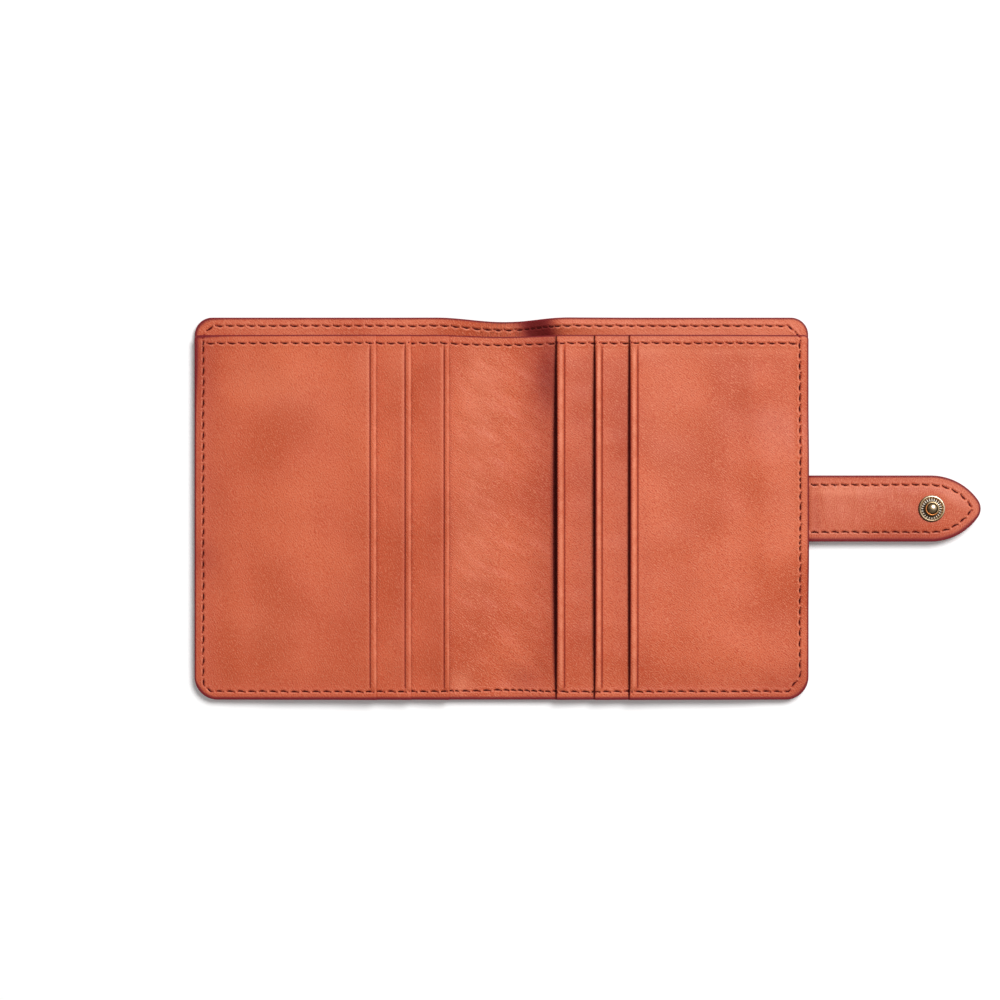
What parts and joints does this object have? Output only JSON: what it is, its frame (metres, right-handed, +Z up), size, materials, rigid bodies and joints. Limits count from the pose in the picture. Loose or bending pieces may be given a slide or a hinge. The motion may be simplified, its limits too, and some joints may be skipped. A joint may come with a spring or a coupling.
{
  "type": "snap wallet",
  "caption": "Folding leather card wallet lying open, with side-loading card pockets on both halves, a note compartment and a stitched strap that closes with a press snap.",
  "frame": {"origin": "Centre of the outer face of the spine, half way between the top and bottom edges, with the wallet lying open on its outer side", "axes": "+X from the fold line to the strap, +Y to the open top edge of the note compartment, +Z up out of the card pockets"},
  "size_m": [0.2089, 0.1016, 0.0069],
  "materials": {
    "shell_leather": "fine-grained terracotta leather with maroon painted edges, 1.2 mm thick",
    "interior_leather": "fine-grained terracotta leather, 0.7 mm thick, turned and creased at the pocket mouths",
    "strap_leather": "smooth terracotta leather, two plies sewn together, slightly redder than the body",
    "lining_cloth": "plain woven brown lining cloth",
    "tail_cloth": "plain woven brown pocket cloth",
    "stitch_thread": "waxed maroon sewing thread",
    "gilt_brass": "polished antique gilt brass",
    "spring_steel": "bright spring wire"
  },
  "bodies": {
    "back_half": {"back_shell": "shell_leather", "back_shell_lining": "lining_cloth", "back_facing": "shell_leather", "back_compartment_lining": "lining_cloth", "back_centre_panel": "interior_leather", "back_lower_pocket": "interior_leather", "back_lower_pocket_tail": "tail_cloth", "back_middle_pocket": "interior_leather", "back_middle_pocket_tail": "tail_cloth", "back_upper_pocket": "interior_leather", "strap_tongue": "strap_leather"},
    "spine": {"spine_shell": "shell_leather", "spine_lining": "lining_cloth", "spine_facing": "shell_leather", "spine_compartment_lining": "lining_cloth", "spine_centre_panel": "interior_leather"},
    "front_half": {"front_shell": "shell_leather", "front_shell_lining": "lining_cloth", "front_facing": "shell_leather", "front_compartment_lining": "lining_cloth", "front_centre_panel": "interior_leather", "front_lower_pocket": "interior_leather", "front_lower_pocket_tail": "tail_cloth", "front_middle_pocket": "interior_leather", "front_middle_pocket_tail": "tail_cloth", "front_upper_pocket": "interior_leather", "snap_socket": "gilt_brass", "socket_spring": "spring_steel", "socket_eyelet": "gilt_brass"},
    "strap_wrap": {"strap_wrap_outer": "strap_leather", "strap_wrap_lining": "strap_leather"},
    "strap_tab": {"strap_tab_outer": "strap_leather", "strap_tab_lining": "strap_leather", "snap_cap": "gilt_brass", "snap_stud": "gilt_brass"}
  },
  "joints": [
    {"name": "back_fold", "type": "hinge", "parent": "back_half", "child": "spine", "pos_m": [0.0028, 0, 0.0037], "axis": [0, 1, 0], "range_deg": [0, 90]},
    {"name": "front_fold", "type": "hinge", "parent": "spine", "child": "front_half", "pos_m": [-0.0028, 0, 0.0037], "axis": [0, 1, 0], "range_deg": [0, 90]},
    {"name": "strap_edge_bend", "type": "hinge", "parent": "back_half", "child": "strap_wrap", "pos_m": [0.0823, 0, 0.00345], "axis": [0, -1, 0], "range_deg": [0, 90]},
    {"name": "strap_top_bend", "type": "hinge", "parent": "strap_wrap", "child": "strap_tab", "pos_m": [0.09425, 0, 0.00345], "axis": [0, -1, 0], "range_deg": [0, 90]}
  ],
  "couplings": [
    {"joint": "front_fold", "follows": "back_fold", "ratio": 1}
  ]
}
